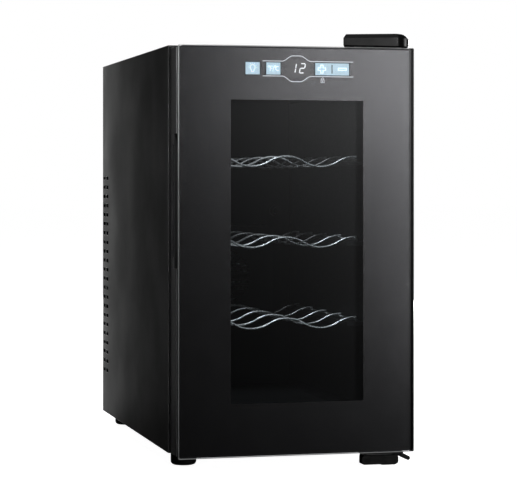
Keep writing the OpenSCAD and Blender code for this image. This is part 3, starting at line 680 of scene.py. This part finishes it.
def key_edges():
    """Dark line around each key, where the print overlaps the lit plate, and the divider."""
    out, behind_ink = 0.4 * MM, 0.02 * MM
    front, back = INK_FRONT + behind_ink, INK_BACK + behind_ink
    parts = ((key_low.x, key_low.x + KEY_WIDTH), (key_high.x - KEY_WIDTH, key_high.x),
             (pair_low.x, pair_high.x))
    form = bmesh.new()
    for low_x, high_x in parts:
        ring = rectangle(low_x - out, key_low.z - out, high_x + out, key_high.z + out)
        add_stroke(form, ring, 2 * out, front, back, True)
    split = pair_low.x + PLUS_WIDTH + 0.2 * MM
    divider = [(split, panel_z - 4.4 * MM), (split, panel_z + 4.6 * MM)]
    add_stroke(form, divider, 0.9 * MM, front, back)
    new_piece("key_edges", form, KEY_SHADE, "door")


def display_mask():
    """Dark film over the digits' window, so that its edge doesn't show when lit."""
    out = 1.5 * MM
    outline = rectangle(screen_low.x - out, screen_low.z - out,
                        screen_high.x + out, screen_high.z + out)
    form = bmesh.new()
    add_plate(form, outline, FILM_FRONT, FILM_BACK)
    new_piece("display_mask", form, MATERIALS["glass_print"], "door")


# ---------------------------------------------------------------- door


def outer_glass():
    """Sheet with clear faces and a ground rim: dark by the hinge, with a glowing painted highlight
    along the bottom.
    """
    low, high = glass_low, glass_high
    arris, back_arris, corner = 0.7 * MM, 0.42 * MM, 1.5 * MM
    rims = [GROUND_EDGE, MATERIALS["spacer_black"], ARRIS_PAINTED_HIGHLIGHT]
    ground, dark, painted_glow = 1, 2, 3

    def ring(inset, y):
        r = max(corner - inset, 0.1 * MM)
        left, right = low.x + inset + r, high.x - inset - r
        bottom, top = low.z + inset + r, high.z - inset - r
        points = []
        for x, z, turn in ((right, top, 0), (left, top, 90), (left, bottom, 180), (right, bottom, 270)):
            points += arc((x, z), r, turn, turn + 90, 6)
        return [form.verts.new((x, y, z)) for x, z in points]

    form = bmesh.new()
    rings = [ring(arris, low.y), ring(0, low.y + arris), ring(0, high.y - back_arris),
             ring(back_arris, high.y)]
    form.faces.new(rings[0])
    form.faces.new(list(reversed(rings[-1])))
    for a, b in zip(rings, rings[1:]):
        for i in range(len(a)):
            j = (i + 1) % len(a)
            spot = (a[i].co + a[j].co) / 2
            hinge_side = spot.x > high.x - corner
            underside = a is rings[0] and spot.z < low.z + corner
            face = form.faces.new((a[i], b[i], b[j], a[j]))
            face.material_index = dark if hinge_side else painted_glow if underside else ground
    obj = new_piece("door_glass_sheet", form, MATERIALS["outer_glass"], "door")
    for material in rims:
        obj.data.materials.append(material)
    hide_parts("door_glass")


def edge_band():
    """Dark band behind the glass down its hinge side, where the print stops short."""
    print_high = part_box("door_print")[1]
    inset, overlap = 0.4 * MM, 0.3 * MM
    outline = rectangle(print_high.x - overlap, glass_low.z + inset,
                        glass_high.x - inset, glass_high.z - inset)
    form = bmesh.new()
    add_plate(form, outline, FILM_FRONT, FILM_BACK)
    new_piece("edge_band", form, EDGE_BAND, "door")


def frame_bead():
    """Polished half-round bead down the frame's free edge, left out along the finger pull."""
    frame_low, frame_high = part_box("door_frame")
    grip_low, grip_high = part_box("handle_grip")
    radius, end_gap = 0.5 * MM, 1.5 * MM
    centre = (frame_low.x + 0.15 * MM, frame_low.y + 7.2 * MM)
    form = bmesh.new()
    for low_z, high_z in ((frame_low.z + end_gap, grip_low.z), (grip_high.z, frame_high.z - end_gap)):
        rows = [[form.verts.new((x, y, z)) for x, y in arc(centre, radius, 90, 270, 8)]
                for z in (low_z, high_z)]
        add_walls(form, rows)
        form.faces.new(rows[0])
        form.faces.new(list(reversed(rows[1])))
    new_piece("frame_bead", form, BEAD, "door")


# ---------------------------------------------------------------- foot, screws, hinge cover


def foot_painted_highlight():
    """Fine glowing strip where the hinge bracket sits on its block foot: a painted highlight on the
    foot's top edge.
    """
    low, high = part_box("front_right_foot")
    form = bmesh.new()
    add_stroke(form, [(low.x + 5 * MM, high.z), (high.x - 7 * MM, high.z)], 0.7 * MM,
               low.y - 0.05 * MM, low.y + 0.6 * MM)
    add_bevel(new_piece("foot_painted_highlight", form, FOOT_HIGHLIGHT_GLOW, "cabinet"), 0.15 * MM)


def foot_lug():
    """Corner of the block foot that rises to the bracket beside the stop tab."""
    low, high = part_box("front_right_foot")
    top = high.z - 0.02 * MM
    bottom = top - 5 * MM
    left = high.x - 8 * MM
    outline = [(left, bottom), (high.x - 0.4 * MM, bottom), (high.x + 1.1 * MM, top - 1.8 * MM),
               (high.x + 1.3 * MM, top), (left, top)]
    form = bmesh.new()
    add_plate(form, outline, low.y + 3 * MM, low.y + 14 * MM)
    new_piece("foot_lug", form, MATERIALS["foot_rubber"], "cabinet")


def islands(obj):
    """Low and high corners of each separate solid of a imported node, in metres."""
    form = bmesh.new()
    form.from_mesh(obj.data)
    bmesh.ops.remove_doubles(form, verts=form.verts, dist=1e-6)
    boxes, seen = [], set()
    for start in form.verts:
        if start in seen:
            continue
        group, queue = [], [start]
        seen.add(start)
        while queue:
            vert = queue.pop()
            group.append(obj.matrix_world @ vert.co)
            for edge in vert.link_edges:
                other = edge.other_vert(vert)
                if other not in seen:
                    seen.add(other)
                    queue.append(other)
        boxes.append((Vector(min(p[k] for p in group) for k in range(3)),
                      Vector(max(p[k] for p in group) for k in range(3))))
    form.free()
    return boxes


def add_screw(form, low, high):
    """Pan-head screw along Y with a cross recess, filling the box from low to high."""
    head, steps = 1.2 * MM, 24
    cx, cz = (low.x + high.x) / 2, (low.z + high.z) / 2
    radius, seat = (high.x - low.x) / 2, high.y - head
    recess = 0.75 * head

    def loop(points, y):
        return [form.verts.new((cx + x, y, cz + z)) for x, z in points]

    # Share of the head's radius, and depth: shank, seat, rim and crown
    profile = ((0.4, low.y), (0.48, low.y + 0.6 * MM), (0.48, seat), (1, seat),
               (1, seat + 0.3 * head), (0.87, seat + 0.75 * head), (0.62, high.y))
    rings = [loop(arc((0, 0), radius * share, 0, 360, steps)[:-1], y) for share, y in profile]
    form.faces.new(rings[0])
    add_walls(form, rings)
    mouth = loop(cross(0.5 * radius, 0.13 * radius), high.y)
    bottom = loop(cross(0.34 * radius, 0.1 * radius), high.y - recess)
    crown = rings[-1]
    edges = [form.edges.get((crown[i], crown[(i + 1) % steps])) for i in range(steps)]
    edges += [form.edges.new((mouth[i], mouth[(i + 1) % len(mouth)])) for i in range(len(mouth))]
    bmesh.ops.bridge_loops(form, edges=edges)
    add_walls(form, [mouth, bottom])
    form.faces.new(bottom)


def panel_screws():
    """Screws that hold the rear panel."""
    form = bmesh.new()
    for low, high in islands(nodes["rear_panel_screws"]):
        add_screw(form, low, high)
    obj = new_piece("panel_screw_heads", form, MATERIALS["screw_steel"], "cabinet", True)
    obj.data.set_sharp_from_angle(angle=math.radians(35))
    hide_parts("rear_panel_screws")


def hinge_cover():
    """Thin moulded cover: a wide bevel runs round its slightly arched crown."""
    low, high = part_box("top_hinge_cover")
    panel_low, panel_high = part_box("top_panel")
    wall, slant = 1.6 * MM, 26 * MM
    front_corner, back_corner = 18 * MM, 6.5 * MM
    sag, sag_above = 1.8 * MM, 4 * MM
    peak = low.x + 0.72 * (high.x - low.x)
    rise = high.z - low.z

    def plan(inset):
        """Outline in the X-Y plane: round at the right, slanting inwards at the left."""
        left, right = low.x + inset, high.x - inset
        front, back = low.y + inset, high.y - inset
        big, small = front_corner - inset, back_corner - inset
        along = (panel_low.y - front) / (back - front)
        points = [(left, front)] + arc((right - big, front + big), big, -90, 0, 10)
        points += [(right, panel_low.y)] + arc((right - small, back - small), small, 0, 90, 5)
        return points + [(left + slant, back), (left + along * slant, panel_low.y)]

    def ring(inset, height):
        """The outline at a height; the crown sags away from its peak, down to the panel."""
        verts = []
        for x, y in plan(inset):
            reach = peak - low.x if x < peak else high.x - peak
            arch = sag * ((x - peak) / reach) ** 2 if height > sag_above else 0
            z = low.z + height - arch
            verts.append(form.verts.new((x, y, max(z, panel_high.z) if y > panel_low.y - MM else z)))
        return verts

    # Inset and height of each outline: bottom edge, straight wall, bevel and crown
    levels = ((0.9 * MM, 0), (0, 1.4 * MM), (0, rise - 4.2 * MM), (3.2 * MM, rise - 0.9 * MM),
              (4.6 * MM, rise))
    form = bmesh.new()
    rings = [ring(inset, height) for inset, height in levels]
    form.faces.new(rings[-1])
    add_walls(form, rings)
    obj = new_piece("hinge_cover_shell", form, MATERIALS["hinge_cover_gloss"], "cabinet",
                    smooth=True)
    obj.data.set_sharp_from_angle(angle=math.radians(25))
    shell = obj.modifiers.new("wall", "SOLIDIFY")
    shell.thickness = wall
    shell.offset = -1
    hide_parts("top_hinge_cover")


panel_outline()
display_digits()
key_icons()
lock_icon()
key_edges()
outer_glass()
display_mask()
edge_band()
frame_bead()
foot_painted_highlight()
foot_lug()
panel_screws()
hinge_cover()

add_camera()
add_floor()
add_world()
add_lights()
finish_nodes()

bpy.context.scene.view_settings.view_transform = "Standard"
